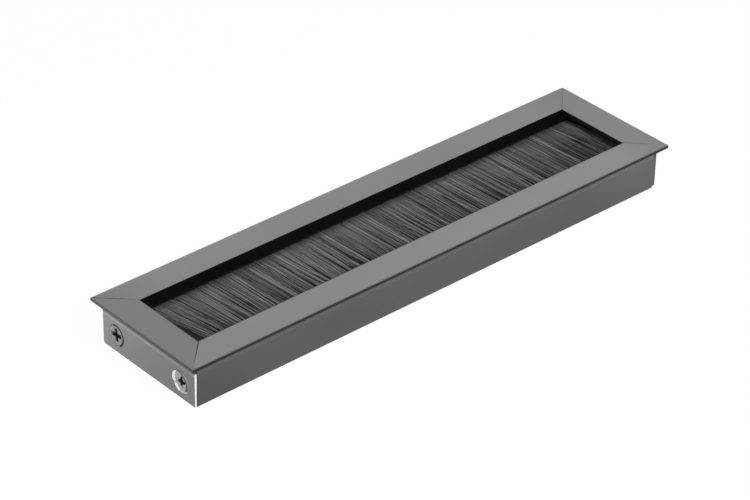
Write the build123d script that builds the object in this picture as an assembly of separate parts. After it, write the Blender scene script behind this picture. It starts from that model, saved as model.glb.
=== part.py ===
from build123d import *
import math
import os
import random

# Rectangular brush cable grommet for a desk top, in millimetres.
# The long sides run along X, the strip brush is held at the rear (+Y) and its
# bristles reach forward. The origin is at the centre of the base, with +Z up.

# Overall size of the frame
frame_length = 240.0
frame_width = 60.0
frame_height = 19.6

# Flange that covers the edge of the cut-out
flange_border = 12.8
flange_overhang = 3.15
flange_thickness = 2.1
flange_crown = 0.2
flange_top_radius = 0.18
flange_nose_radius = 1.1
flange_inner_radius = 0.2
mitre_gap = 0.04

# Walls
skirt_wall = 1.2
end_wall = 1.2
leg_wall = 1.2
slot_web = 0.9
end_corner_radius = 1.2

# Strip brush
brush_drop = 7.2
brush_left_gap = 12.75
brush_right_gap = 4.85
layer_thickness = 1.0
core_wire_diameter = 1.0
channel_wall = 0.5
channel_depth = 5.0
channel_pinch = 1.6
packing_clearance = 0.05
slot_clearance = 0.2
slot_lip = 0.7
mouth_clearance = 0.15

# Bristle tufts
tuft_pitch = 3.7
tip_overlap = 2.3
tip_raggedness = 0.7
tip_thinning = 0.35
mid_share = 0.55
lean_middle = 3.0
lean_left = 12.0
lean_right = 5.7
lean_fade = 14.0
lean_scatter = 0.35
gap_root = 0.04
gap_mid = 0.16
gap_tip_low = 0.25
gap_tip_high = 1.3
tuft_bevel_share = 0.2
tuft_seed = 11

# Screws and their ports
screw_head_diameter = 8.2
screw_head_rim = 0.15
screw_core_diameter = 3.1
screw_length = 16.0
screw_tip_length = 2.0
screw_seat_clearance = 0.05
recess_span = 5.4
recess_slot = 1.5
recess_depth = 1.5
recess_taper = 20.0
screw_turns = (1.0, 6.5, -6.0, 21.0)
countersink_diameter = 8.9
countersink_half_angle = 45.0
port_bore_diameter = 3.4
port_wall = 1.2
port_sink = 0.75
port_inset = 1.8
port_slot_width = 1.6

# Places worked out from the sizes above
half_length = frame_length / 2
half_width = frame_width / 2
opening_half_width = half_width - flange_border
skirt_half_length = half_length - flange_overhang
skirt_half_width = half_width - flange_overhang
body_half_length = skirt_half_length - end_wall
flange_underside = frame_height - flange_thickness
brush_z = frame_height - brush_drop
channel_inner_height = core_wire_diameter + 2 * layer_thickness + 2 * packing_clearance
channel_height = channel_inner_height + 2 * channel_wall
channel_mouth = 2 * (layer_thickness + packing_clearance)
slot_height = channel_height + 2 * slot_clearance
slot_depth = channel_depth + 2 * slot_clearance
lip_share = min(1, (slot_lip - slot_clearance) / channel_pinch)
slot_mouth = channel_mouth + 2 * channel_wall + 2 * mouth_clearance
slot_mouth += lip_share * (channel_height - channel_mouth - 2 * channel_wall)
port_radius = port_bore_diameter / 2 + port_wall
port_y = opening_half_width + port_inset
port_z = brush_z - slot_height / 2 - slot_web - port_radius + port_sink
brush_left = -body_half_length + brush_left_gap
brush_right = body_half_length - brush_right_gap
brush_length = brush_right - brush_left
brush_middle = (brush_left + brush_right) / 2
brush_face = opening_half_width + slot_clearance


def rectangle_between(y_low, y_high, z_low, z_high):
    """Upright rectangle given by its limits, drawn with Y across and Z up."""
    centre = Pos((y_low + y_high) / 2, (z_low + z_high) / 2)
    return centre * Rectangle(y_high - y_low, z_high - z_low)


def flange_section(outer_edge):
    """Crowned flange, its outer edge at the given distance and well rounded below."""
    inner_edge = outer_edge - flange_border
    middle = (inner_edge + outer_edge) / 2
    top = ThreePointArc(
        (inner_edge, frame_height),
        (middle, frame_height - flange_crown / 4),
        (outer_edge, frame_height - flange_crown),
    )
    rest = Polyline(
        (outer_edge, frame_height - flange_crown),
        (outer_edge, flange_underside),
        (inner_edge, flange_underside),
        (inner_edge, frame_height),
    )
    face = make_face(top + rest)
    face = fillet(face.vertices().group_by(Axis.X)[-1].sort_by(Axis.Y)[0], flange_nose_radius)
    face = fillet(face.vertices().group_by(Axis.X)[-1].sort_by(Axis.Y)[-1], flange_top_radius)
    inner_top = face.vertices().group_by(Axis.X)[0].sort_by(Axis.Y)[-1]
    return fillet(inner_top, flange_inner_radius)


def mitred_flange(edge_length, outer_edge):
    """Flange along one side of the frame, mitred at 45 degrees at both ends."""
    bar = extrude(Plane.YZ * flange_section(outer_edge), edge_length / 2, both=True)
    inner_edge = outer_edge - flange_border
    end_step = mitre_gap / math.sqrt(2)
    half_outer = edge_length / 2 - end_step
    half_inner = half_outer - flange_border
    plan = Polyline(
        (-half_outer, outer_edge), (half_outer, outer_edge),
        (half_inner, inner_edge), (-half_inner, inner_edge), close=True,
    )
    return bar & extrude(make_face(plan), 2 * frame_height)


def slot_section():
    """Housing of the strip brush: a slot open towards the cable opening, with two lips."""
    outside = rectangle_between(
        opening_half_width, opening_half_width + slot_depth + slot_web,
        brush_z - slot_height / 2 - slot_web, brush_z + slot_height / 2 + slot_web,
    )
    cavity = rectangle_between(
        opening_half_width + slot_lip, opening_half_width + slot_depth,
        brush_z - slot_height / 2, brush_z + slot_height / 2,
    )
    mouth = rectangle_between(
        opening_half_width, opening_half_width + slot_lip,
        brush_z - slot_mouth / 2, brush_z + slot_mouth / 2,
    )
    return outside - cavity - mouth


def port_section():
    """Screw port: a ring under the slot, slit along its underside."""
    ring = Circle(port_radius) - Circle(port_bore_diameter / 2)
    slit = Pos(0, -port_radius / 2) * Rectangle(port_slot_width, port_radius)
    return Pos(port_y, port_z) * (ring - slit)


def body_section():
    """Skirt, inner leg, brush slot and screw port of a long profile."""
    outer_face = skirt_half_width
    skirt = rectangle_between(outer_face - skirt_wall, outer_face, 0, flange_underside)
    leg = rectangle_between(
        opening_half_width, opening_half_width + leg_wall,
        brush_z + slot_height / 2, flange_underside,
    )
    return skirt + leg + slot_section() + port_section()


def countersink_cone():
    """Conical cutter on the local Z axis, its mouth at the origin, opening upward."""
    mouth = countersink_diameter / 2
    depth = mouth / math.tan(math.radians(countersink_half_angle))
    return Pos(0, 0, -depth / 2) * Cone(0, mouth, depth)


def screw_planes():
    """Planes of the four screws, each at the outer face of an end wall, normal outward."""
    places = []
    for side in (-1, 1):
        for y in (-port_y, port_y):
            outward = (side, 0, 0)
            origin = (side * skirt_half_length, y, port_z)
            places.append(Plane(origin=origin, x_dir=(0, side, 0), z_dir=outward))
    return places


def long_profile():
    """Rear long profile, its flange mitred and its body cut square to the end walls."""
    body = extrude(Plane.YZ * body_section(), body_half_length, both=True)
    profile = mitred_flange(frame_length, half_width) + body
    for plane in screw_planes():
        profile -= plane * countersink_cone()
    return profile


def end_profile():
    """Right end piece: a mitred flange over a wall that laps the ends of the long profiles."""
    flange = Rot(0, 0, -90) * mitred_flange(frame_width, half_length)
    outline = rectangle_between(-skirt_half_width, skirt_half_width, 0, flange_underside)
    front_bottom = outline.vertices().sort_by(lambda v: v.X + v.Y)[0]
    outline = fillet(front_bottom, end_corner_radius)
    wall = extrude(Plane.YZ.offset(body_half_length) * outline, end_wall)
    profile = flange + wall
    for plane in screw_planes():
        profile -= plane * countersink_cone()
    return profile


def end_screw():
    """Countersunk self-tapping screw with a cross recess, its head face at the local origin."""
    head_radius = screw_head_diameter / 2
    core_radius = screw_core_diameter / 2
    cone_height = (head_radius - core_radius) / math.tan(math.radians(countersink_half_angle))
    head_bottom = -screw_head_rim - cone_height
    half_section = Polyline(
        (0, 0), (head_radius, 0), (head_radius, -screw_head_rim),
        (core_radius, head_bottom), (core_radius, -screw_length + screw_tip_length),
        (0, -screw_length), close=True,
    )
    body = revolve(Plane.XZ * make_face(half_section), Axis.Z)
    cross = Rectangle(recess_span, recess_slot) + Rectangle(recess_slot, recess_span)
    recess = extrude(cross, -recess_depth, taper=recess_taper)
    return body - recess


def end_screws():
    """The four screws, seated in the countersinks of the end walls."""
    slope = math.tan(math.radians(countersink_half_angle))
    head_depth = (countersink_diameter - screw_head_diameter) / 2 / slope
    head_depth -= screw_head_rim
    head_depth -= screw_seat_clearance
    screw = end_screw()
    seat = Pos(0, 0, -head_depth)
    turned = zip(screw_planes(), screw_turns)
    return Compound([plane * seat * Rot(0, 0, turn) * screw for plane, turn in turned])


def channel_outline(inset):
    """Outline of the pinched channel, drawn in by the given amount on all sides but the mouth."""
    half = channel_height / 2 - inset
    half_mouth = channel_mouth / 2 + channel_wall - inset
    back = brush_face + channel_depth - inset
    front = brush_face
    shoulder = front + channel_pinch
    return make_face(Polyline(
        (back, -half), (back, half), (shoulder, half), (front, half_mouth),
        (front, -half_mouth), (shoulder, -half), close=True,
    ))


def brush_channel():
    """Channel bent from thin sheet, its arms pinched onto the bristles at the mouth."""
    section = channel_outline(0) - channel_outline(channel_wall)
    bar = extrude(Plane.YZ * Pos(0, brush_z) * section, brush_length / 2, both=True)
    return Pos(brush_middle, 0, 0) * bar


def core_wire_y():
    """Distance of the core wire's axis from the middle plane."""
    back = brush_face + channel_depth - channel_wall
    return back - packing_clearance - layer_thickness - core_wire_diameter / 2


def brush_core_wire():
    """Round wire that the bristles are folded over."""
    wire = extrude(Plane.YZ * Circle(core_wire_diameter / 2), brush_length / 2, both=True)
    return Pos(brush_middle, core_wire_y(), brush_z) * wire


def bristle_fold():
    """Packed bristles inside the channel, bent round the core wire, up to the mouth."""
    packed = channel_outline(channel_wall + packing_clearance)
    wire_y = core_wire_y()
    wire_room = core_wire_diameter / 2 + packing_clearance
    packed -= Pos(wire_y, 0) * Circle(wire_room)
    slit = Polyline((wire_y, wire_room), (wire_y, -wire_room), (brush_face + channel_pinch, 0), close=True)
    packed -= make_face(slit)
    packed &= rectangle_between(brush_face, brush_face + channel_depth, -channel_height, channel_height)
    bar = extrude(Plane.YZ * Pos(0, brush_z) * packed, brush_length / 2, both=True)
    return Pos(brush_middle, 0, 0) * bar


def lean_shift(x, reach):
    """Sideways shift of a bristle with its root at x, after the given reach forward."""
    left_share = math.exp(-(x - brush_left) / lean_fade)
    right_share = math.exp(-(brush_right - x) / lean_fade)
    lean = lean_middle + (lean_left - lean_middle) * left_share
    lean += (lean_right - lean_middle) * right_share
    return reach * math.tan(math.radians(lean))


def tuft_face(y, left, right, z_low, z_high):
    """Flattened six-sided section of a tuft on the plane at the given y."""
    middle = (z_low + z_high) / 2
    inset = (right - left) * tuft_bevel_share
    points = [
        (left, y, middle), (left + inset, y, z_low), (right - inset, y, z_low),
        (right, y, middle), (right - inset, y, z_high), (left + inset, y, z_high),
    ]
    return make_face(Polyline(*points, close=True))


def tuft_layer(z_low, z_high, stagger, draw):
    """One layer of tapered tufts, parted from each other towards their tips."""
    count = max(2, round(brush_length / tuft_pitch))
    pitch = brush_length / count
    reach = brush_face + opening_half_width + tip_overlap
    seams = [brush_left + pitch * (i + (stagger if 0 < i < count else 0)) for i in range(count + 1)]
    shifts = [draw.uniform(-lean_scatter, lean_scatter) for _ in seams]
    gaps = [draw.uniform(gap_tip_low, gap_tip_high) for _ in seams]
    tufts = []
    for i in range(count):
        tip_reach = reach - draw.uniform(0, tip_raggedness)
        sections = []
        for share in (0.0, mid_share, 1.0):
            distance = share * tip_reach
            left = seams[i] + lean_shift(seams[i], distance) + share * shifts[i]
            right = seams[i + 1] + lean_shift(seams[i + 1], distance) + share * shifts[i + 1]
            if share == 0.0:
                left_gap = right_gap = gap_root
            elif share == 1.0:
                left_gap, right_gap = gaps[i], gaps[i + 1]
            else:
                left_gap = right_gap = gap_mid
            thin = tip_thinning * share * (z_high - z_low) / 2
            sections.append(tuft_face(
                brush_face - distance, left + left_gap / 2, right - right_gap / 2,
                z_low + thin, z_high - thin,
            ))
        tufts.append(loft(sections, ruled=True))
    return tufts


def bristles():
    """Curtain of bristles: the packed fold and two staggered layers of tufts."""
    draw = random.Random(tuft_seed)
    upper = tuft_layer(brush_z, brush_z + layer_thickness, 0.0, draw)
    lower = tuft_layer(brush_z - layer_thickness, brush_z, 0.5, draw)
    return Compound([bristle_fold()] + upper + lower)


def main():
    rear = long_profile()
    right_end = end_profile()
    nodes = {
        "rear_profile": rear,
        "front_profile": Rot(0, 0, 180) * rear,
        "right_end_profile": right_end,
        "left_end_profile": Rot(0, 0, 180) * right_end,
        "end_screws": end_screws(),
        "brush_channel": brush_channel(),
        "brush_core_wire": brush_core_wire(),
        "bristles": bristles(),
    }
    os.makedirs("parts", exist_ok=True)
    for name, shape in nodes.items():
        export_step(shape, f"parts/{name}.step")


main()
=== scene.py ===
import math

import bmesh
import bpy
import numpy as np
from mathutils import Matrix, Vector


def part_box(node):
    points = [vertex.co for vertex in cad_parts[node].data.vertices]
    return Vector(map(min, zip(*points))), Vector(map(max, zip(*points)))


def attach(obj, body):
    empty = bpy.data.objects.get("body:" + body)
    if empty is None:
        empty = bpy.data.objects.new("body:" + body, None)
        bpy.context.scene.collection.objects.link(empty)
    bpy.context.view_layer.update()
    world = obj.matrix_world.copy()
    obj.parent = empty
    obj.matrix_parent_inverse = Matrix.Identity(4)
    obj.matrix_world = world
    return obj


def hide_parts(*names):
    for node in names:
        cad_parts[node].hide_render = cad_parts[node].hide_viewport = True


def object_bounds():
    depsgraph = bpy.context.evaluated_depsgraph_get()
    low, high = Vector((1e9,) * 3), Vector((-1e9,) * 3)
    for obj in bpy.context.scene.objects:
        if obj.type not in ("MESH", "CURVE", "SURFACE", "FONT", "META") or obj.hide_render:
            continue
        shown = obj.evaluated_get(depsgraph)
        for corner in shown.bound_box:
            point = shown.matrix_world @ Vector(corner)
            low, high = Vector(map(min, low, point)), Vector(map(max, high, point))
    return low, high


# Looks of a rectangular brush cable grommet, in metres. +Z is up. The brush is
# fixed along the rear side (+Y) and reaches towards the front (-Y). The left end
# (-X) has a near screw at the front and a far screw at the rear.

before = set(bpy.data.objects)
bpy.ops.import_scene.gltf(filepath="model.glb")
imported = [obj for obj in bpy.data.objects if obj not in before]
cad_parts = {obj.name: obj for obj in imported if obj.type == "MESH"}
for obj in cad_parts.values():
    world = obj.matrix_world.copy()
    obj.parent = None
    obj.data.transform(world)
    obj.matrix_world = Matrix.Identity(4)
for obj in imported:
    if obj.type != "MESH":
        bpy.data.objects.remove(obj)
cad_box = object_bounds()
MM = 0.001


def mm(*sizes):
    """Millimetres as a tuple of metres."""
    return tuple(size * MM for size in sizes)


def ramp(start, end, first, last):
    """Values of remap: first up to the place start, last from the place end, both in mm."""
    return start * MM, end * MM, first, last


def grey(tone):
    """Neutral colour."""
    return (tone, tone, tone)


# Camera: a long lens from the front left and above, with a slight roll
IMAGE_WIDTH = 750
FOCAL_PIXELS = 3003.0
SENSOR_WIDTH = 36.0
CAMERA_PLACE = Vector(mm(-648.9, -713.0, 627.9))
CAMERA_TARGET = Vector(mm(-9.8, -1.8, 10.0))
CAMERA_ROLL = math.radians(1.06)
CAMERA_CLIP = (0.05, 50.0)

# Sizes of the frame, worked out from its CAD box
FRAME_HALF_LENGTH, FRAME_HALF_WIDTH, FRAME_HEIGHT = cad_box[1]
FLANGE_BORDER = 12.8 * MM
FLANGE_OVERHANG = 3.15 * MM
OPENING_HALF_LENGTH = FRAME_HALF_LENGTH - FLANGE_BORDER
OPENING_HALF_WIDTH = FRAME_HALF_WIDTH - FLANGE_BORDER
SKIRT_HALF_LENGTH = FRAME_HALF_LENGTH - FLANGE_OVERHANG
SKIRT_HALF_WIDTH = FRAME_HALF_WIDTH - FLANGE_OVERHANG
TOP_FACE = FRAME_HEIGHT - 0.3 * MM
END_WALL_TOP = FRAME_HEIGHT - 2.0 * MM
HOLLOW_HALF_SIZES = (SKIRT_HALF_LENGTH - 1.1 * MM, SKIRT_HALF_WIDTH - 1.1 * MM)
HOLLOW_TOP = FRAME_HEIGHT - 2.05 * MM

# Anodised metal: dark and light end of its cloudy tone
ANODISED_WARM = ((0.268, 0.256, 0.259), (0.311, 0.298, 0.301))
ANODISED_COOL = ((0.262, 0.260, 0.269), (0.302, 0.301, 0.311))
ANODISED_WALL = (grey(0.265), grey(0.300))
ANODISED_METALLIC = 0.9
# Painted shade: the end pieces get darker copies of the anodised grey
LEFT_END_SHADE = 0.885
RIGHT_END_SHADE = 0.91
# Bright marks on the left end: a corner strip, and bare countersink metal with painted highlights
# at the near screw
CORNER_STRIP_TONE = (0.79, 0.79, 0.785)
BARE_METAL_AND_HIGHLIGHT = (0.99, 0.99, 0.985)
BRIGHT_MARK_METALLIC = 0.1
# Painted shade mixed into the metal: the corner, rim, hollow, opening edge and cone tones. The
# glint tone is painted light.
CORNER_TONE = grey(0.02)
# The seam tone marks the mitre joints, and also painted shadow under the end flange and at the far
# screw
SEAM_AND_SHADOW_TONE = grey(0.03)
GLINT_TONE = grey(0.6)
RIM_TONE = grey(0.09)
HOLLOW_TONE = grey(0.09)
OPENING_EDGE_TONE = grey(0.018)
RIGHT_EDGE_TONE = grey(0.05)
CONE_TONE = grey(0.05)
CONE_SHARE = 0.5
SINK_RIM_SHARE = 0.55
GRAIN_SCALE = 2600.0
GRAIN_DEPTH = 0.02 * MM
CLOUD_SCALE = 14.0
ANODISED_ROUGHNESS = (0.34, 0.44)
DIE_LINES = {"X": (12.0, 900.0, 900.0), "Y": (900.0, 12.0, 900.0)}
DIE_LINE_SHARE = 0.15
NOISE_RANGE = (0.3, 0.7)
WARM_TO_COOL = ramp(-100.0, 100.0, 0.0, 1.0)

# Painted shade and light on the tops of the long flanges, along x and across from the front to the
# rear: darker towards the corners and the front right, lighter at the front
CORNER_DARKENING = ramp(94.0, 116.0, 0.0, 0.15)
CORNER_DARKENING_ACROSS = ramp(-20.0, 20.0, 0.3, 1.0)
FRONT_RIGHT_DARKENING = ramp(98.0, 112.0, 0.0, 0.10)
FRONT_LIGHTENING = ramp(-10.0, 10.0, 0.06, 0.01)

# Dark seams at the mitres: half width, and strength by the distance from the long axis
MITRE_HALF_WIDTH = (-10.0 * MM, 10.0 * MM, 0.25 * MM, 0.17 * MM)
MITRE_STRENGTHS = (
    ("left", "rear", ramp(19.5, 22.0, 0.05, 0.9)),
    ("left", "front", ramp(21.0, 28.0, 0.95, 0.1)),
    ("right", "rear", ramp(23.0, 28.0, 0.85, 0.1)),
    ("right", "front", ramp(22.0, 27.0, 0.6, 0.0)),
)

# Painted shade on the edges of the flange: round the opening by the distance from it, and at the
# rim and nose.
# On the left end the shade goes by the distance's share of a width that changes along y.
RIGHT_EDGE = OPENING_HALF_LENGTH - 0.1 * MM
OPENING_LINE = ramp(0.0, 0.04, 1.0, 0.0)
OPENING_EDGE_SHADE = ramp(0.10, 0.45, 0.95, 0.0)
LEFT_EDGE_SHADE_WIDTH = (-10.0 * MM, 4.0 * MM, 0.7 * MM, 0.4 * MM)
LEFT_EDGE_SHADE = (0.5, 1.0, 0.95, 0.0)
RIM_SHADE = ramp(-0.5, -0.05, 0.0, 0.75)
NOSE_REACH = -2.75 * MM
NOSE_TOP = FRAME_HEIGHT - 0.36 * MM
OUTER_REACH = -3.2 * MM

# Light and shade on the walls by height. The flange's shadow covers their top.
LONG_WALL_GLINTS = (ramp(13.1, 14.2, 0.0, 0.25), ramp(8.0, 12.5, 0.0, 0.05))
END_WALL_GLINT = ramp(12.6, 13.3, 0.0, 0.22)
END_WALL_GLINT_TOP = 14.1 * MM
END_WALL_SHADOW = ramp(14.05, 14.5, 0.0, 0.6)
WALL_TOP = 17.45 * MM

# Bright strip along the vertical front corner of the left end wall
CORNER_STRIP_REACH = (1.0 * MM, 12.0 * MM, 0.65 * MM - SKIRT_HALF_LENGTH, 0.85 * MM - SKIRT_HALF_LENGTH)
CORNER_STRIP_SIDE = 0.02 * MM - SKIRT_HALF_WIDTH
CORNER_STRIP_TOP = 14.35 * MM
WALL_FACE = 1.85 * MM - SKIRT_HALF_LENGTH

# Middles of the two screws in an end wall: their CAD box ends a head's radius beyond
SCREWS_LOW, SCREWS_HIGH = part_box("end_screws")
SCREW_HEIGHT = (SCREWS_LOW.z + SCREWS_HIGH.z) / 2
SCREW_OFFSET = -SCREWS_LOW.y - (SCREWS_HIGH.z - SCREWS_LOW.z) / 2
NEAR, FAR = -SCREW_OFFSET, SCREW_OFFSET

# Circles at the screws: place from the screw's middle towards +Y and +Z, and radius
COUNTERSINK = mm(0.0, 0.0, 4.5)
HEAD_FACE = mm(0.0, 0.0, 3.95)
BROAD_CRESCENT = (mm(1.75, 0.25, 3.45), mm(-0.35, 0.6, 4.15))
SLIM_CRESCENT = (mm(-0.25, -0.2, 4.65), mm(-0.6, 0.1, 3.9))
SINK_RIM = (mm(0.0, 0.0, 4.55), mm(0.1, 0.1, 4.1))
DARK_ARC = (mm(2.1, -1.5, 5.6), mm(2.5, -1.2, 4.85))
RECESS_TIPS = mm(0.4, -0.3, 1.9)
NEAR_MIDDLE = mm(0.45, -0.1, 0.95)
FAR_FACE = mm(0.40, -0.2, 3.72)
FAR_MIDDLE = mm(0.3, 0.0, 1.35)

# Tones of the screws and of these marks, painted light and shade, and how strong they are
SCREW_STEEL = (grey(0.24), grey(0.34))
SCREW_METALLIC = 0.95
SCREW_ROUGHNESS = (0.3, 0.45)
SCREW_GRAIN_SCALE = 1800.0
SCREW_GRAIN_DEPTH = 0.03 * MM
NEAR_HEAD_TONE, NEAR_HEAD_SHARE = grey(0.8), 0.30
DARK_ARC_TONE, DARK_ARC_SHARE = grey(0.05), 0.88
HEAD_RIM_TONE, HEAD_RIM_SHARE = grey(0.36), 0.8
RECESS_EDGE_TONE, RECESS_EDGE_SHARE = grey(0.01), 0.7
RECESS_TONE = grey(0.07)
RECESS_TIPS_TONE = grey(0.55)

# Where these marks start or end. HEAD, FOOT and SIDE are places in z, z and y.
BROAD_CRESCENT_FOOT = SCREW_HEIGHT - 1.55 * MM
SLIM_CRESCENT_HEAD = SCREW_HEIGHT - 2.1 * MM
SLIM_CRESCENT_SIDE = NEAR + 1.1 * MM
SINK_RIM_HEAD = SCREW_HEIGHT - 1.5 * MM
CONE_FOOT = SCREW_HEIGHT - 2.5 * MM
CONE_SIDE = NEAR - 0.3 * MM
HEAD_RIM_FOOT = SCREW_HEIGHT - 2.0 * MM
HEAD_RING_FADE = ramp(3.0, 5.2, 0.6, 0.0)
RECESS_FACE = SKIRT_HALF_LENGTH - 0.18 * MM

# Painted dark cross over the recess of the far screw, and the slanted line that bounds the painted
# shade at its edge
FAR_RECESS_TURN = math.radians(7.0)
FAR_RECESS_SHIFT = mm(0.25, 0.1)
RECESS_HALF_WIDTH = 0.92 * MM
RECESS_HALF_LENGTHS = mm(3.0, 2.8)
SHADED_SIDE = (0.9, 0.44)
SHADED_FROM = -0.2 * MM

# Row of roots in the brush channel, and the mouth of the channel
CHANNEL_LOW, CHANNEL_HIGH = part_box("brush_channel")
ROW_LEFT = CHANNEL_LOW.x + 0.3 * MM
ROW_RIGHT = CHANNEL_HIGH.x - 0.3 * MM
ROOT_Y = CHANNEL_LOW.y + 0.6 * MM
ROOT_Z = (CHANNEL_LOW.z + CHANNEL_HIGH.z) / 2
FOLD_MOUTH = CHANNEL_LOW.y + 0.02 * MM
WELD_DISTANCE = 0.0001 * MM

# Bristles: filaments gather into strands, and strands into tufts
FILAMENTS = 9600
UNDER_FILAMENTS = 2000
FILAMENT_PIECES = 4
FILAMENT_STEPS = 9
FILAMENT_SIDES = 3
FILAMENT_RADIUS = 0.12 * MM
TIP_TAPER = 0.45
BUNDLE_HALF_HEIGHT = 0.8 * MM
FILAMENT_REACH = CHANNEL_LOW.y + OPENING_HALF_WIDTH + 2.1 * MM
FURTHEST_RIGHT = SKIRT_HALF_LENGTH - 1.5 * MM
LENGTH_SPREAD = (-0.9, 0.3)
LEAN_MIDDLE = 3.0
LEAN_LEFT = 12.0
LEAN_RIGHT = 7.6
LEAN_FADE = 14.0 * MM
TUFT_WIDTHS = mm(1.6, 4.4)
TUFT_PULL = (0.02, 0.22)
TUFT_DRIFT = 0.30 * MM
STRAND_WIDTHS = mm(0.22, 0.75)
STRAND_PULL = (0.35, 0.95)
STRAND_DRIFT = 0.16 * MM
STRAND_LIFT = 0.15 * MM
STRAND_LEAN = 0.95
STRAND_LEVELS = (-0.8, 0.8)
FILAMENT_DRIFT = 0.06 * MM
LEVEL_PULL = 0.75
PARTED_FROM = 0.1
PARTED_POWER = 1.6
RISE_LIMITS = mm(-1.3, 1.15)
STRAY_SHARE = 0.13
STRAY_LEAN = 2.5
STRAY_LIFT = 0.45 * MM
WAVE_SIZE = 0.17 * MM
WAVE_TURNS = 1.2
LOOSE_WIDTH = 1.4 * MM
LOOSE_LEAN = (0.85, 1.0)
UNDER_JITTER = (-0.03, 0.03)
UNDER_LENGTH_SPREAD = (-0.6, 0.3)
UNDER_LEVELS = (-1.0, -0.6)
BRISTLE_SEED = 5

# Tones of single filaments, from 0 dark to 1 light
TONE_MIDDLE = 0.56
STRAND_TONE_SPREAD = 0.18
TUFT_TONE_SPREAD = 0.03
FILAMENT_TONE_SPREAD = 0.15
STRAY_TONE = 0.25
DARK_SHARE = 0.13
DARK_TONE = 0.45
UNDER_TONES = (0.05, 0.25)

# Colours of the brush, and how its tone changes over x and y: painted light at the roots, and
# painted shade towards the tips, at the right end and at the left front corner
BRISTLE_FRONT = (grey(0.004), grey(0.185))
BRISTLE_ROOT = (grey(0.085), grey(0.215))
BRISTLE_ROOT_EDGE = grey(0.32)
BRISTLE_SHADE = grey(0.004)
BRISTLE_WEDGE = grey(0.065)
BRISTLE_TONE_RANGE = (0.25, 1.25)
BRISTLE_TONE_POWER = 1.2
ROOTWARD = ramp(-10.0, 17.5, 0.0, 1.0)
ROOTWARD_POWER = 1.3
ROOT_EDGE = ramp(15.0, 17.2, 0.0, 0.45)
STREAKS_SCALE = (900.0, 110.0, 900.0)
STREAKS_SHARE = 0.5
LIGHTER_FROM = ramp(-85.0, -70.0, 0.0, 0.14)
LIGHTER_TO = ramp(-30.0, -18.0, 1.0, 0.0)
LIGHTER_ACROSS = ramp(6.0, 12.0, 1.0, 0.3)
RIGHT_SHADE_FROM = ramp(70.0, 100.0, 0.0, 0.28)
RIGHT_SHADE_TO = ramp(106.0, 112.0, 0.0, 0.28)
SHADE_STREAKS_SCALE = (1100.0, 60.0, 900.0)
SHADE_STREAKS = (0.44, 0.52, 0.65, 0.0)
SHADE_STREAKS_ALONG = ramp(88.0, 102.0, 0.0, 1.0)
SHADE_STREAKS_ACROSS = ramp(4.0, 14.0, 1.0, 0.3)
WEDGE_EDGE = (-9.0 * MM, 4.0 * MM, -96.8 * MM, -100.0 * MM)
WEDGE_SOFTNESS = ramp(-0.15, 0.15, 0.9, 0.0)
WEDGE_ACROSS = ramp(3.0, 5.0, 1.0, 0.0)

# Floor: brightness of its glow in front and to the left as the metal mirrors it, a painted
# reflection
FLOOR_HALF_SIZE = 6.0
FLOOR_DROP = 0.02 * MM
FLOOR_FRONT = ramp(-110.0, 140.0, 0.306, 0.286)
FLOOR_FRONT_RIGHT = ramp(92.0, 118.0, 0.0, 0.085)
FLOOR_FRONT_CORNER = ramp(-116.0, -84.0, 0.10, 0.0)
FLOOR_LEFT = (0.0, 1.0, 0.80, 1.12)
FLOOR_REARWARD = ramp(-16.0, 37.0, 0.0, 1.0)
FLOOR_REARWARD_POWER = 1.6
FLOOR_CAMERA_SHARE = 0.96
# Inside the frame the floor keeps only a faint glow, painted light seen through the brush
FLOOR_INSIDE_HALF_SIZES = (SKIRT_HALF_LENGTH - 1.0 * MM, SKIRT_HALF_WIDTH - 1.0 * MM)
FLOOR_INSIDE_SHARE = 0.016

# Light
WORLD_TONE = 0.45
WORLD_TONE_SEEN = 0.8
KEY_PLACE = (-0.3, -1.0, 1.1)
KEY_TARGET = (0.0, 0.0, 0.01)
KEY_SIZE = 0.8
KEY_POWER = 22.0


def new_material(name):
    """Empty node material, with its node tree and shader."""
    material = bpy.data.materials.new(name)
    material.use_nodes = True
    tree = material.node_tree
    tree.nodes.clear()
    output = tree.nodes.new("ShaderNodeOutputMaterial")
    shader = tree.nodes.new("ShaderNodeBsdfPrincipled")
    tree.links.new(shader.outputs["BSDF"], output.inputs["Surface"])
    return material, tree, shader


def add_node(tree, kind, **inputs):
    """New node with its unlinked sockets set by name."""
    node = tree.nodes.new(kind)
    for socket, value in inputs.items():
        node.inputs[socket.replace("_", " ")].default_value = value
    return node


def stretched_coordinates(tree, scale):
    """Object coordinates scaled separately along each axis."""
    place = tree.nodes.new("ShaderNodeTexCoord")
    mapping = add_node(tree, "ShaderNodeMapping", Scale=scale)
    tree.links.new(place.outputs["Object"], mapping.inputs["Vector"])
    return mapping.outputs["Vector"]


def noise(tree, vector, scale, detail=2.0, roughness=0.5):
    """Noise texture on the given coordinates."""
    node = add_node(tree, "ShaderNodeTexNoise", Scale=scale, Detail=detail, Roughness=roughness)
    tree.links.new(vector, node.inputs["Vector"])
    return node.outputs["Fac"]


def remap(tree, value, from_low, from_high, to_low, to_high):
    """Linear change of range, clamped."""
    node = tree.nodes.new("ShaderNodeMapRange")
    node.inputs["From Min"].default_value = from_low
    node.inputs["From Max"].default_value = from_high
    node.inputs["To Min"].default_value = to_low
    node.inputs["To Max"].default_value = to_high
    tree.links.new(value, node.inputs["Value"])
    return node.outputs["Result"]


def math_node(tree, operation, first, second):
    """Maths node whose two inputs are sockets or numbers."""
    node = tree.nodes.new("ShaderNodeMath")
    node.operation = operation
    for socket, value in zip(node.inputs, (first, second)):
        if isinstance(value, (int, float)):
            socket.default_value = value
        else:
            tree.links.new(value, socket)
    return node.outputs["Value"]


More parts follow.
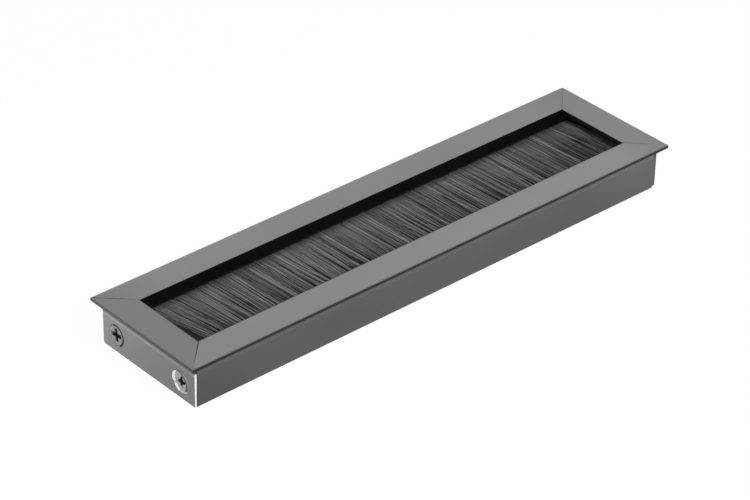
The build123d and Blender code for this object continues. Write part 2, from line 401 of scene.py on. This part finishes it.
def mix_colours(tree, factor, first, second):
    """Colour mix of two colours or colour sockets."""
    node = tree.nodes.new("ShaderNodeMix")
    node.data_type = "RGBA"
    tree.links.new(factor, node.inputs["Factor"])
    for socket, value in ((node.inputs[6], first), (node.inputs[7], second)):
        if isinstance(value, tuple):
            socket.default_value = (*value, 1.0)
        else:
            tree.links.new(value, socket)
    return node.outputs[2]


def bump(tree, shader, height, strength, distance):
    """Bump from a height socket onto the shader's normal."""
    node = add_node(tree, "ShaderNodeBump", Strength=strength, Distance=distance)
    tree.links.new(height, node.inputs["Height"])
    tree.links.new(node.outputs["Normal"], shader.inputs["Normal"])


def add(tree, first, second):
    """Sum of two sockets or numbers."""
    return math_node(tree, "ADD", first, second)


def subtract(tree, first, second):
    """Difference of two sockets or numbers."""
    return math_node(tree, "SUBTRACT", first, second)


def absolute(tree, value):
    """Size of a value without its sign."""
    return math_node(tree, "ABSOLUTE", value, 0.0)


def above(tree, value, limit):
    """1 where the value is over the limit, else 0."""
    return math_node(tree, "GREATER_THAN", value, limit)


def below(tree, value, limit):
    """1 where the value is under the limit, else 0."""
    return math_node(tree, "LESS_THAN", value, limit)


def both(tree, *masks):
    """Product of masks and shares."""
    result = masks[0]
    for mask in masks[1:]:
        result = math_node(tree, "MULTIPLY", result, mask)
    return result


def either(tree, first, *others):
    """Largest of some masks."""
    for other in others:
        first = math_node(tree, "MAXIMUM", first, other)
    return first


def inverse(tree, mask):
    """1 where the mask is 0, and 0 where it is 1."""
    return subtract(tree, 1.0, mask)


def weighted(tree, first, first_share, second, second_share):
    """Weighted sum of two sockets."""
    return add(tree, both(tree, first, first_share), both(tree, second, second_share))


class Place:
    """A material's object coordinates, with the distances from the two middle planes."""

    def __init__(self, tree):
        self.vector = tree.nodes.new("ShaderNodeTexCoord").outputs["Object"]
        node = tree.nodes.new("ShaderNodeSeparateXYZ")
        tree.links.new(self.vector, node.inputs["Vector"])
        self.x, self.y, self.z = (node.outputs[axis] for axis in "XYZ")
        self.from_middle_x = absolute(tree, self.x)
        self.from_middle_y = absolute(tree, self.y)


def beyond(tree, at, half_length, half_width):
    """Distance outside a centred rectangle, negative inside it."""
    past_end = subtract(tree, at.from_middle_x, half_length)
    past_side = subtract(tree, at.from_middle_y, half_width)
    return either(tree, past_end, past_side)


def within(tree, at, half_length, half_width):
    """1 inside a centred rectangle, else 0."""
    return below(tree, beyond(tree, at, half_length, half_width), 0.0)


def circle(tree, at, screw, shape):
    """1 inside a circle on the end wall at the near or far screw, else 0."""
    across, up, radius = shape
    across = subtract(tree, at.y, screw + across)
    up = subtract(tree, at.z, SCREW_HEIGHT + up)
    squares = add(tree, both(tree, across, across), both(tree, up, up))
    return below(tree, squares, radius ** 2)


def crescent(tree, at, screw, shapes):
    """1 inside the first circle and outside the second one, else 0."""
    outer, inner = (circle(tree, at, screw, shape) for shape in shapes)
    return both(tree, outer, inverse(tree, inner))


def near_crescents(tree, at):
    """Painted highlight left of the near screw: a broad crescent above and a slim one below."""
    upper = both(
        tree, crescent(tree, at, NEAR, BROAD_CRESCENT), above(tree, at.z, BROAD_CRESCENT_FOOT),
    )
    lower = both(
        tree, crescent(tree, at, NEAR, SLIM_CRESCENT), below(tree, at.z, SLIM_CRESCENT_HEAD),
        above(tree, at.y, SLIM_CRESCENT_SIDE),
    )
    return either(tree, upper, lower)


def shaded_side(tree, at):
    """1 on the upper right side of the far screw, as seen from the left end."""
    across = subtract(tree, FAR, at.y)
    up = subtract(tree, at.z, SCREW_HEIGHT)
    return above(tree, weighted(tree, across, SHADED_SIDE[0], up, SHADED_SIDE[1]), SHADED_FROM)


def recess_cross(tree, at):
    """Painted shade in a cross over the far screw's recess, wider than the recess."""
    across = subtract(tree, at.y, FAR + FAR_RECESS_SHIFT[0])
    up = subtract(tree, at.z, SCREW_HEIGHT + FAR_RECESS_SHIFT[1])
    cosine, sine = math.cos(FAR_RECESS_TURN), math.sin(FAR_RECESS_TURN)
    arms = (
        absolute(tree, weighted(tree, across, cosine, up, -sine)),
        absolute(tree, weighted(tree, across, sine, up, cosine)),
    )
    bars = (
        both(tree, below(tree, arm, half_length), below(tree, other, RECESS_HALF_WIDTH))
        for arm, other, half_length in zip(arms, arms[::-1], RECESS_HALF_LENGTHS)
    )
    return either(tree, *bars)


def mitre_mask(tree, at):
    """Dark hairline along the mitres, each visible over part of its length."""
    offset = subtract(tree, at.from_middle_x, at.from_middle_y)
    offset = subtract(tree, offset, OPENING_HALF_LENGTH - OPENING_HALF_WIDTH)
    line = below(tree, absolute(tree, offset), remap(tree, at.x, *MITRE_HALF_WIDTH))
    sides = {
        "left": below(tree, at.x, 0.0), "right": above(tree, at.x, 0.0),
        "front": below(tree, at.y, 0.0), "rear": above(tree, at.y, 0.0),
    }
    corners = (
        both(tree, remap(tree, at.from_middle_y, *strength), sides[end], sides[side])
        for end, side, strength in MITRE_STRENGTHS
    )
    return both(tree, line, above(tree, at.z, TOP_FACE), either(tree, *corners))


def anodised_colour(tree, at, along, shade):
    """Cloudy grey with die lines, warmer at the left end and neutral on the end walls."""
    lines = noise(tree, stretched_coordinates(tree, DIE_LINES[along]), 1.0, 3.0, 0.6)
    cloud = noise(tree, at.vector, CLOUD_SCALE)
    tone = weighted(tree, lines, DIE_LINE_SHARE, cloud, 1.0 - DIE_LINE_SHARE)
    tone = remap(tree, tone, *NOISE_RANGE, 0.0, 1.0)

    # The shade factor makes darker copies for the end pieces: painted shade
    def shaded(ends):
        dark, light = (tuple(shade * part for part in end) for end in ends)
        return mix_colours(tree, tone, dark, light)

    warm, cool = shaded(ANODISED_WARM), shaded(ANODISED_COOL)
    colour = mix_colours(tree, remap(tree, at.x, *WARM_TO_COOL), warm, cool)
    if along == "Y":
        wall = below(tree, at.z, END_WALL_TOP)
        colour = mix_colours(tree, wall, colour, shaded(ANODISED_WALL))
    return colour


def shade_long_flanges(tree, at, colour):
    """Tops of the long flanges: painted shade at the corners and the front right, and painted light
    at the front.
    """
    top = above(tree, at.z, TOP_FACE)
    corner = both(
        tree, top, remap(tree, at.from_middle_x, *CORNER_DARKENING),
        remap(tree, at.y, *CORNER_DARKENING_ACROSS),
    )
    front_right = both(
        tree, top, remap(tree, at.x, *FRONT_RIGHT_DARKENING), below(tree, at.y, 0.0),
    )
    front = both(tree, top, remap(tree, at.y, *FRONT_LIGHTENING))
    colour = mix_colours(tree, corner, colour, CORNER_TONE)
    colour = mix_colours(tree, front_right, colour, CORNER_TONE)
    return mix_colours(tree, front, colour, GLINT_TONE)


def shade_opening(tree, at, colour, with_wide_edge_shade):
    """Painted shade on the flange's edge round the opening, wider on the left end, and in the
    hollow under the flange.
    """
    distance = beyond(tree, at, OPENING_HALF_LENGTH, OPENING_HALF_WIDTH)
    facing = either(
        tree, below(tree, at.x, -OPENING_HALF_LENGTH), below(tree, at.y, -OPENING_HALF_WIDTH),
    )
    edges = either(
        tree, remap(tree, distance, *OPENING_LINE),
        both(tree, remap(tree, distance, *OPENING_EDGE_SHADE), facing),
    )
    if with_wide_edge_shade:
        width = remap(tree, at.y, *LEFT_EDGE_SHADE_WIDTH)
        share = math_node(tree, "DIVIDE", distance, width)
        edges = either(tree, edges, remap(tree, share, *LEFT_EDGE_SHADE))
    hollow = both(
        tree, within(tree, at, *HOLLOW_HALF_SIZES), below(tree, at.z, HOLLOW_TOP),
    )
    right = both(tree, edges, above(tree, at.x, RIGHT_EDGE))
    colour = mix_colours(tree, hollow, colour, HOLLOW_TONE)
    colour = mix_colours(tree, edges, colour, OPENING_EDGE_TONE)
    return mix_colours(tree, right, colour, RIGHT_EDGE_TONE)


def shade_outside(tree, at, colour, along):
    """Painted shade on the rim and nose of the flange, and painted light and shade on the walls
    below it.
    """
    reach = beyond(tree, at, FRAME_HALF_LENGTH, FRAME_HALF_WIDTH)
    lit_side = either(
        tree, below(tree, at.x, -SKIRT_HALF_LENGTH), below(tree, at.y, -SKIRT_HALF_WIDTH),
    )
    rim = both(tree, remap(tree, reach, *RIM_SHADE), lit_side)
    nose = both(tree, above(tree, reach, NOSE_REACH), below(tree, at.z, NOSE_TOP))
    colour = mix_colours(tree, either(tree, rim, nose), colour, RIM_TONE)
    wall = both(tree, above(tree, reach, OUTER_REACH), below(tree, at.z, WALL_TOP))
    if along == "X":
        glint = either(tree, *(remap(tree, at.z, *glint) for glint in LONG_WALL_GLINTS))
    else:
        glint = both(
            tree, remap(tree, at.z, *END_WALL_GLINT), below(tree, at.z, END_WALL_GLINT_TOP),
        )
        shadow = both(tree, remap(tree, at.z, *END_WALL_SHADOW), wall)
        colour = mix_colours(tree, shadow, colour, SEAM_AND_SHADOW_TONE)
    return mix_colours(tree, both(tree, glint, wall), colour, GLINT_TONE)


def mark_left_wall(tree, at, colour):
    """Marks on the left end wall: painted shade in the countersinks, bare metal and painted
    highlights at the near screw, and a bright corner strip. Gives the new colour and the mask of
    the bright marks.
    """
    face = below(tree, at.x, WALL_FACE)
    cone = both(
        tree, circle(tree, at, NEAR, COUNTERSINK), face, below(tree, at.y, CONE_SIDE),
        above(tree, at.z, CONE_FOOT),
    )
    rim = both(
        tree, crescent(tree, at, NEAR, SINK_RIM), face, below(tree, at.z, SINK_RIM_HEAD),
    )
    corner_strip = both(
        tree, below(tree, at.x, remap(tree, at.z, *CORNER_STRIP_REACH)), below(tree, at.y, CORNER_STRIP_SIDE),
        below(tree, at.z, CORNER_STRIP_TOP),
    )
    crescents = both(tree, near_crescents(tree, at), face)
    far_edge = both(tree, circle(tree, at, FAR, COUNTERSINK), shaded_side(tree, at))
    colour = mix_colours(tree, both(tree, cone, CONE_SHARE), colour, CONE_TONE)
    colour = mix_colours(tree, both(tree, rim, SINK_RIM_SHARE), colour, BARE_METAL_AND_HIGHLIGHT)
    colour = mix_colours(tree, corner_strip, colour, CORNER_STRIP_TONE)
    colour = mix_colours(tree, crescents, colour, BARE_METAL_AND_HIGHLIGHT)
    colour = mix_colours(tree, far_edge, colour, SEAM_AND_SHADOW_TONE)
    return colour, either(tree, corner_strip, crescents)


def anodised_aluminium(name, along, shade=1.0, with_left_end_marks=False):
    """Satin dark grey anodised extrusion with faint die lines running along it."""
    material, tree, shader = new_material(name)
    at = Place(tree)
    grain = noise(tree, at.vector, GRAIN_SCALE, 2.0, 0.6)
    colour = anodised_colour(tree, at, along, shade)
    if along == "X":
        colour = shade_long_flanges(tree, at, colour)
    colour = mix_colours(tree, mitre_mask(tree, at), colour, SEAM_AND_SHADOW_TONE)
    colour = shade_opening(tree, at, colour, with_left_end_marks)
    colour = shade_outside(tree, at, colour, along)
    if with_left_end_marks:
        colour, bright_marks = mark_left_wall(tree, at, colour)
        metallic = remap(tree, bright_marks, 0.0, 1.0, ANODISED_METALLIC, BRIGHT_MARK_METALLIC)
        tree.links.new(metallic, shader.inputs["Metallic"])
    else:
        shader.inputs["Metallic"].default_value = ANODISED_METALLIC
    tree.links.new(colour, shader.inputs["Base Color"])
    rough = remap(tree, grain, *NOISE_RANGE, *ANODISED_ROUGHNESS)
    tree.links.new(rough, shader.inputs["Roughness"])
    bump(tree, shader, grain, 0.05, GRAIN_DEPTH)
    return material


def bristle_material():
    """Black nylon filaments with a soft sheen, each with its own tone, and painted light and shade:
    paler at the roots, darker towards the tips and at the right end.
    """
    material, tree, shader = new_material("bristle_nylon")
    own = tree.nodes.new("ShaderNodeAttribute")
    own.attribute_name = "tone"
    at = Place(tree)
    streaks = noise(tree, stretched_coordinates(tree, STREAKS_SCALE), 1.0)
    lighter = both(
        tree, remap(tree, at.x, *LIGHTER_FROM), remap(tree, at.x, *LIGHTER_TO),
        remap(tree, at.y, *LIGHTER_ACROSS),
    )
    tone = add(tree, own.outputs["Fac"], both(tree, streaks, STREAKS_SHARE))
    tone = remap(tree, add(tree, tone, lighter), *BRISTLE_TONE_RANGE, 0.0, 1.0)
    tone = math_node(tree, "POWER", tone, BRISTLE_TONE_POWER)
    front = mix_colours(tree, tone, *BRISTLE_FRONT)
    root = mix_colours(tree, tone, *BRISTLE_ROOT)
    rootward = math_node(tree, "POWER", remap(tree, at.y, *ROOTWARD), ROOTWARD_POWER)
    colour = mix_colours(tree, rootward, front, root)
    # Painted light on the filaments next to the roots
    colour = mix_colours(tree, remap(tree, at.y, *ROOT_EDGE), colour, BRISTLE_ROOT_EDGE)
    # Painted shade at the right end, with dark streaks of painted shade there, strongest towards
    # the front
    right = subtract(tree, remap(tree, at.x, *RIGHT_SHADE_FROM), remap(tree, at.x, *RIGHT_SHADE_TO))
    right = both(tree, right, inverse(tree, rootward))
    shade_streaks = noise(tree, stretched_coordinates(tree, SHADE_STREAKS_SCALE), 1.0, 2.0, 0.6)
    shade_streaks = both(
        tree, remap(tree, shade_streaks, *SHADE_STREAKS), remap(tree, at.x, *SHADE_STREAKS_ALONG),
        remap(tree, at.y, *SHADE_STREAKS_ACROSS),
    )
    colour = mix_colours(tree, either(tree, right, shade_streaks), colour, BRISTLE_SHADE)
    # Painted shade on the filaments at the left front corner
    from_wedge = subtract(tree, at.x, remap(tree, at.y, *WEDGE_EDGE))
    wedge = both(tree, remap(tree, from_wedge, *WEDGE_SOFTNESS), remap(tree, at.y, *WEDGE_ACROSS))
    colour = mix_colours(tree, wedge, colour, BRISTLE_WEDGE)
    tree.links.new(colour, shader.inputs["Base Color"])
    shader.inputs["Roughness"].default_value = 0.42
    shader.inputs["Specular IOR Level"].default_value = 0.5
    return material


def packed_bristle_material():
    """Filaments packed in the channel, too deep in the shade to show their own tones."""
    material, _, shader = new_material("packed_bristles")
    shader.inputs["Base Color"].default_value = (*grey(0.006), 1.0)
    shader.inputs["Roughness"].default_value = 0.6
    return material


def screw_material():
    """Grey plated steel with painted shade in the cross recess and at the head edges, and painted
    highlights at the near head.
    """
    material, tree, shader = new_material("screw_steel")
    at = Place(tree)
    grain = noise(tree, at.vector, SCREW_GRAIN_SCALE, 3.0, 0.6)
    left_end = below(tree, at.x, 0.0)
    near = both(tree, left_end, below(tree, at.y, 0.0))
    far = both(tree, left_end, above(tree, at.y, 0.0))
    arc = both(tree, crescent(tree, at, NEAR, DARK_ARC), near, DARK_ARC_SHARE)
    ring = both(
        tree, inverse(tree, circle(tree, at, NEAR, HEAD_FACE)), near,
        remap(tree, at.z, *HEAD_RING_FADE),
    )
    rim = both(
        tree, inverse(tree, circle(tree, at, NEAR, DARK_ARC[0])), near,
        above(tree, at.z, HEAD_RIM_FOOT), HEAD_RIM_SHARE,
    )
    crescents = both(tree, near_crescents(tree, at), near)
    far_edge = both(
        tree, inverse(tree, circle(tree, at, FAR, FAR_FACE)), far, shaded_side(tree, at),
    )
    cross = both(tree, recess_cross(tree, at), far, RECESS_EDGE_SHARE)
    recess = below(tree, at.from_middle_x, RECESS_FACE)
    middles = either(
        tree, both(tree, far, circle(tree, at, FAR, FAR_MIDDLE)),
        both(tree, near, circle(tree, at, NEAR, NEAR_MIDDLE)),
    )
    tips = both(tree, recess, near, inverse(tree, circle(tree, at, NEAR, RECESS_TIPS)))
    colour = mix_colours(tree, grain, *SCREW_STEEL)
    # Painted light and shade on the screws: a lighter near head, dark arc, rim, edge and recess,
    # highlights on the near head, and light grey over the tips of the near recess
    for mask, tone in (
        (both(tree, near, NEAR_HEAD_SHARE), NEAR_HEAD_TONE), (arc, DARK_ARC_TONE),
        (ring, BARE_METAL_AND_HIGHLIGHT), (rim, HEAD_RIM_TONE), (crescents, BARE_METAL_AND_HIGHLIGHT),
        (far_edge, SEAM_AND_SHADOW_TONE), (cross, RECESS_EDGE_TONE),
        (either(tree, recess, middles), RECESS_TONE), (tips, RECESS_TIPS_TONE),
    ):
        colour = mix_colours(tree, mask, colour, tone)
    bright = either(tree, crescents, tips)
    tree.links.new(colour, shader.inputs["Base Color"])
    rough = remap(tree, grain, *NOISE_RANGE, *SCREW_ROUGHNESS)
    tree.links.new(rough, shader.inputs["Roughness"])
    metallic = remap(tree, bright, 0.0, 1.0, SCREW_METALLIC, BRIGHT_MARK_METALLIC)
    tree.links.new(metallic, shader.inputs["Metallic"])
    bump(tree, shader, grain, 0.1, SCREW_GRAIN_DEPTH)
    return material


def channel_material(name, colour, roughness):
    """Coated or drawn steel with a fine grain."""
    material, tree, shader = new_material(name)
    grain = noise(tree, stretched_coordinates(tree, (20.0, 900.0, 900.0)), 1.0)
    darker = tuple(0.6 * part for part in colour)
    tree.links.new(mix_colours(tree, grain, darker, colour), shader.inputs["Base Color"])
    shader.inputs["Roughness"].default_value = roughness
    shader.inputs["Metallic"].default_value = 0.7
    return material


def dress(node, material):
    """Give a CAD node one material."""
    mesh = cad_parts[node].data
    mesh.materials.clear()
    mesh.materials.append(material)


def dress_frame():
    """Materials of the pieces that keep their CAD shape."""
    along_x = anodised_aluminium("anodised_long", "X")
    dress("rear_profile", along_x)
    dress("front_profile", along_x)
    dress("left_end_profile", anodised_aluminium("anodised_left_end", "Y", LEFT_END_SHADE, True))
    dress("right_end_profile", anodised_aluminium("anodised_right_end", "Y", RIGHT_END_SHADE))
    dress("end_screws", screw_material())
    dress("brush_channel", channel_material("channel_steel", grey(0.03), 0.5))
    dress("brush_core_wire", channel_material("core_wire", grey(0.5), 0.35))


def lean_angle(x):
    """Sideways lean of the bristles, in radians, for roots at x."""
    left_share = np.exp(-(x - ROW_LEFT) / LEAN_FADE)
    right_share = np.exp(-(ROW_RIGHT - x) / LEAN_FADE)
    lean = LEAN_MIDDLE + (LEAN_LEFT - LEAN_MIDDLE) * left_share
    lean = lean + (LEAN_RIGHT - LEAN_MIDDLE) * right_share
    return np.radians(lean)


def gather(draw, x, widths):
    """Cut the row of roots into groups: each root's group, its middle, and how many there are."""
    span = x.max() - x.min()
    steps = draw.uniform(*widths, int(span / widths[0]) + 2)
    edges = x.min() + np.concatenate([[0.0], np.cumsum(steps)])
    group = np.searchsorted(edges, x, side="right") - 1
    middles = (edges[:-1] + edges[1:]) / 2
    return group, middles[group], len(middles)


def steps_along():
    """Share of a filament's length at each of its points."""
    return np.linspace(0, 1, FILAMENT_STEPS + 1)[None, :]


def lay_out(x, side, length, rise):
    """Centre lines as (filament, step, xyz) from roots at x, kept off the right end wall."""
    paths = np.empty((len(x), FILAMENT_STEPS + 1, 3))
    paths[:, :, 0] = np.minimum(x[:, None] + side, FURTHEST_RIGHT)
    paths[:, :, 1] = ROOT_Y - steps_along() * length[:, None]
    paths[:, :, 2] = ROOT_Z + rise
    return paths


def filament_paths():
    """Centre lines and tones of the filaments that gather into strands and tufts."""
    draw = np.random.default_rng(BRISTLE_SEED)
    x = np.sort(draw.uniform(ROW_LEFT, ROW_RIGHT, FILAMENTS))
    tuft, tuft_middle, tufts = gather(draw, x, TUFT_WIDTHS)
    strand, strand_middle, strands = gather(draw, x, STRAND_WIDTHS)
    to_tuft = draw.uniform(*TUFT_PULL, tufts)[tuft] * (tuft_middle - x)
    to_strand = draw.uniform(*STRAND_PULL, strands)[strand] * (strand_middle - x)
    drift = draw.normal(0, TUFT_DRIFT, tufts)[tuft]
    drift = drift + draw.normal(0, STRAND_DRIFT, strands)[strand]
    drift = drift + draw.normal(0, FILAMENT_DRIFT, FILAMENTS)
    stray = draw.uniform(0, 1, strands) < STRAY_SHARE
    stray_lean = np.where(stray, draw.normal(0, STRAY_LEAN, strands), 0.0)[strand]
    lift = (draw.normal(0, STRAND_LIFT, strands) + np.where(stray, STRAY_LIFT, 0.0))[strand]
    wave = draw.normal(0, WAVE_SIZE, strands)[strand]
    wave_phase = draw.uniform(0, 2 * math.pi, strands)[strand]
    length = FILAMENT_REACH + draw.uniform(*LENGTH_SPREAD, FILAMENTS) * MM
    height = draw.uniform(-1, 1, FILAMENTS) * BUNDLE_HALF_HEIGHT
    own_lean = draw.normal(0, STRAND_LEAN, strands)[strand] + stray_lean
    lean = np.tan(lean_angle(x) + np.radians(own_lean))
    loose = (x < ROW_LEFT + LOOSE_WIDTH) & (height < 0)
    lean = np.where(loose, lean * draw.uniform(*LOOSE_LEAN, FILAMENTS), lean)
    level = draw.uniform(*STRAND_LEVELS, strands)[strand] * BUNDLE_HALF_HEIGHT
    dark = draw.uniform(0, 1, strands) < DARK_SHARE
    tone = draw.normal(TONE_MIDDLE, STRAND_TONE_SPREAD, strands)[strand]
    tone = tone + draw.normal(0, TUFT_TONE_SPREAD, tufts)[tuft]
    tone = tone + (np.where(stray, STRAY_TONE, 0.0) - np.where(dark, DARK_TONE, 0.0))[strand]
    tone = tone + draw.normal(0, FILAMENT_TONE_SPREAD, FILAMENTS)

    t = steps_along()
    parted = np.clip((t - PARTED_FROM) / (1 - PARTED_FROM), 0, 1)
    waves = np.sin(2 * math.pi * WAVE_TURNS * t + wave_phase[:, None])
    side = (lean * length)[:, None] * t
    side = side + (to_strand + to_tuft + drift)[:, None] * parted ** PARTED_POWER
    side = side + wave[:, None] * waves * t
    rise = height[:, None] + (level - height)[:, None] * LEVEL_PULL * parted
    rise = np.clip(rise + lift[:, None] * parted, *RISE_LIMITS)
    return lay_out(x, side, length, rise), np.clip(tone, 0, 1)


def under_layer_paths():
    """Centre lines and tones of the even, shaded layer of filaments below the strands."""
    draw = np.random.default_rng(BRISTLE_SEED + 1)
    jitter = draw.uniform(*UNDER_JITTER, UNDER_FILAMENTS) * MM
    x = np.linspace(ROW_LEFT, ROW_RIGHT, UNDER_FILAMENTS) + jitter
    length = FILAMENT_REACH + draw.uniform(*UNDER_LENGTH_SPREAD, UNDER_FILAMENTS) * MM
    height = draw.uniform(*UNDER_LEVELS, UNDER_FILAMENTS) * BUNDLE_HALF_HEIGHT
    lean = np.tan(lean_angle(x))
    side = (lean * length)[:, None] * steps_along()
    return lay_out(x, side, length, height[:, None]), draw.uniform(*UNDER_TONES, UNDER_FILAMENTS)


def tube_mesh(name, paths, tones, radius):
    """Closed tubes along the given centre lines, tapered at the tips."""
    count, points, _ = paths.shape
    around = np.arange(FILAMENT_SIDES)
    angles = around * 2 * math.pi / FILAMENT_SIDES + math.pi / 2
    ring = np.stack([np.cos(angles), np.zeros(FILAMENT_SIDES), np.sin(angles)], 1)
    radii = np.full(points, radius)
    radii[-1] = radius * TIP_TAPER
    vertices = paths[:, :, None, :] + ring[None, None] * radii[None, :, None, None]
    first = np.arange(count) * points * FILAMENT_SIDES
    corner = first[:, None, None] + (np.arange(points - 1) * FILAMENT_SIDES)[None, :, None]
    a = corner + around
    b = corner + (around + 1) % FILAMENT_SIDES
    quads = np.stack([a, b, b + FILAMENT_SIDES, a + FILAMENT_SIDES], -1).reshape(-1, 4)
    start = first[:, None] + around[::-1]
    end = first[:, None] + (points - 1) * FILAMENT_SIDES + around
    mesh = bpy.data.meshes.new(name)
    faces = quads.tolist() + start.tolist() + end.tolist()
    mesh.from_pydata(vertices.reshape(-1, 3).tolist(), [], faces)
    mesh.polygons.foreach_set("use_smooth", [True] * len(mesh.polygons))
    tone = mesh.attributes.new("tone", "FLOAT", "POINT")
    tone.data.foreach_set("value", np.repeat(tones, points * FILAMENT_SIDES))
    mesh.update()
    return mesh


def add_piece(name, mesh, material):
    """New object with one material in the scene."""
    mesh.materials.append(material)
    piece = bpy.data.objects.new(name, mesh)
    bpy.context.scene.collection.objects.link(piece)
    return piece


def stand_for_bristles(piece):
    """The piece rides with the frame and stands for the CAD bristles."""
    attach(piece, "root")
    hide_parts("bristles")


def build_bristles():
    """The curtain of filaments, in a few pieces side by side."""
    material = bristle_material()
    layers = [filament_paths(), under_layer_paths()]
    paths, tones = (np.concatenate(parts) for parts in zip(*layers))
    along = np.argsort(paths[:, 0, 0])
    paths, tones = paths[along], tones[along]
    share = len(tones) // FILAMENT_PIECES
    for i in range(FILAMENT_PIECES):
        name = f"bristle_filaments_{i + 1}"
        part = slice(i * share, (i + 1) * share)
        mesh = tube_mesh(name, paths[part], tones[part], FILAMENT_RADIUS)
        stand_for_bristles(add_piece(name, mesh, material))


def build_fold():
    """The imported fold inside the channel, cut from the CAD solid at the channel's mouth."""
    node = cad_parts["bristles"]
    edit = bmesh.new()
    edit.from_mesh(node.data)
    edit.transform(node.matrix_world)
    outer = [face for face in edit.faces if max(v.co.y for v in face.verts) < FOLD_MOUTH]
    bmesh.ops.delete(edit, geom=outer, context="FACES")
    bmesh.ops.remove_doubles(edit, verts=edit.verts, dist=WELD_DISTANCE)
    bmesh.ops.holes_fill(edit, edges=edit.edges, sides=0)
    mesh = bpy.data.meshes.new("bristle_fold")
    edit.to_mesh(mesh)
    edit.free()
    stand_for_bristles(add_piece("bristle_fold", mesh, packed_bristle_material()))


def floor_mirror(tree, at):
    """Painted reflection: brightness of the floor's glow as the front wall and the left end wall
    mirror it.
    """
    front = both(
        tree, below(tree, at.y, -SKIRT_HALF_WIDTH), above(tree, at.x, -SKIRT_HALF_LENGTH),
    )
    ahead = add(tree, remap(tree, at.x, *FLOOR_FRONT), remap(tree, at.x, *FLOOR_FRONT_RIGHT))
    ahead = subtract(tree, ahead, remap(tree, at.x, *FLOOR_FRONT_CORNER))
    rearward = math_node(tree, "POWER", remap(tree, at.y, *FLOOR_REARWARD), FLOOR_REARWARD_POWER)
    left = remap(tree, rearward, *FLOOR_LEFT)
    return add(tree, both(tree, front, ahead), both(tree, inverse(tree, front), left))


def floor_material():
    """Pure white to the camera apart from a soft shadow, and dark inside the frame."""
    material, tree, shader = new_material("floor_white")
    shader.inputs["Base Color"].default_value = (*grey(0.9), 1.0)
    shader.inputs["Roughness"].default_value = 0.8
    shader.inputs["Specular IOR Level"].default_value = 0.1
    at = Place(tree)
    light = tree.nodes.new("ShaderNodeLightPath")
    camera, glossy = light.outputs["Is Camera Ray"], light.outputs["Is Glossy Ray"]
    inside = within(tree, at, *FLOOR_INSIDE_HALF_SIZES)
    glow = tree.nodes.new("ShaderNodeEmission")
    strength = add(tree, camera, both(tree, glossy, floor_mirror(tree, at)))
    tree.links.new(strength, glow.inputs["Strength"])
    share = add(tree, both(tree, camera, FLOOR_CAMERA_SHARE), glossy)
    share = both(tree, share, remap(tree, inside, 0.0, 1.0, 1.0, FLOOR_INSIDE_SHARE))
    output = next(node for node in tree.nodes if node.type == "OUTPUT_MATERIAL")
    blend_shaders(tree, share, shader.outputs["BSDF"], glow.outputs["Emission"], output)
    return material


def blend_shaders(tree, share, first, second, output):
    """Link a mix of two shaders to the output."""
    blend = tree.nodes.new("ShaderNodeMixShader")
    tree.links.new(share, blend.inputs["Fac"])
    tree.links.new(first, blend.inputs[1])
    tree.links.new(second, blend.inputs[2])
    tree.links.new(blend.outputs["Shader"], output.inputs["Surface"])


def build_floor():
    """Floor that carries the shadow and shows in the metal, a hair below the object."""
    size = FLOOR_HALF_SIZE
    mesh = bpy.data.meshes.new("floor")
    corners = [(-size, -size, 0), (size, -size, 0), (size, size, 0), (-size, size, 0)]
    mesh.from_pydata(corners, [], [(0, 1, 2, 3)])
    floor = add_piece("floor", mesh, floor_material())
    floor.location.z = -FLOOR_DROP


def build_world():
    """Even studio surround, brighter where the camera or a glossy surface sees it."""
    world = bpy.data.worlds.new("studio")
    bpy.context.scene.world = world
    world.use_nodes = True
    tree = world.node_tree
    tree.nodes.clear()
    output = tree.nodes.new("ShaderNodeOutputWorld")
    soft, seen = (
        add_node(tree, "ShaderNodeBackground", Color=(*grey(tone), 1.0)).outputs["Background"]
        for tone in (WORLD_TONE, WORLD_TONE_SEEN)
    )
    light = tree.nodes.new("ShaderNodeLightPath")
    rays = ("Is Camera Ray", "Is Glossy Ray", "Is Transmission Ray")
    share = either(tree, *(light.outputs[ray] for ray in rays))
    blend_shaders(tree, share, soft, seen, output)


def build_key_lamp():
    """Large soft lamp from the front left, not mirrored by the metal."""
    data = bpy.data.lights.new("key", "AREA")
    data.shape = "SQUARE"
    data.size = KEY_SIZE
    data.energy = KEY_POWER
    lamp = bpy.data.objects.new("key", data)
    lamp.location = KEY_PLACE
    direction = Vector(KEY_TARGET) - Vector(KEY_PLACE)
    lamp.rotation_euler = direction.to_track_quat("-Z", "Y").to_euler()
    lamp.visible_glossy = False
    bpy.context.scene.collection.objects.link(lamp)


def build_camera():
    """Camera at the photograph's place, aim and roll."""
    data = bpy.data.cameras.new("camera")
    data.sensor_width = SENSOR_WIDTH
    data.lens = FOCAL_PIXELS / IMAGE_WIDTH * SENSOR_WIDTH
    data.clip_start, data.clip_end = CAMERA_CLIP
    camera = bpy.data.objects.new("camera", data)
    aim = (CAMERA_TARGET - CAMERA_PLACE).to_track_quat("-Z", "Y")
    roll = Matrix.Rotation(CAMERA_ROLL, 4, "Z")
    camera.matrix_world = Matrix.Translation(CAMERA_PLACE) @ aim.to_matrix().to_4x4() @ roll
    bpy.context.scene.collection.objects.link(camera)
    bpy.context.scene.camera = camera


dress_frame()
build_bristles()
build_fold()
build_floor()
build_world()
build_key_lamp()
build_camera()
bpy.context.scene.view_settings.view_transform = "Standard"
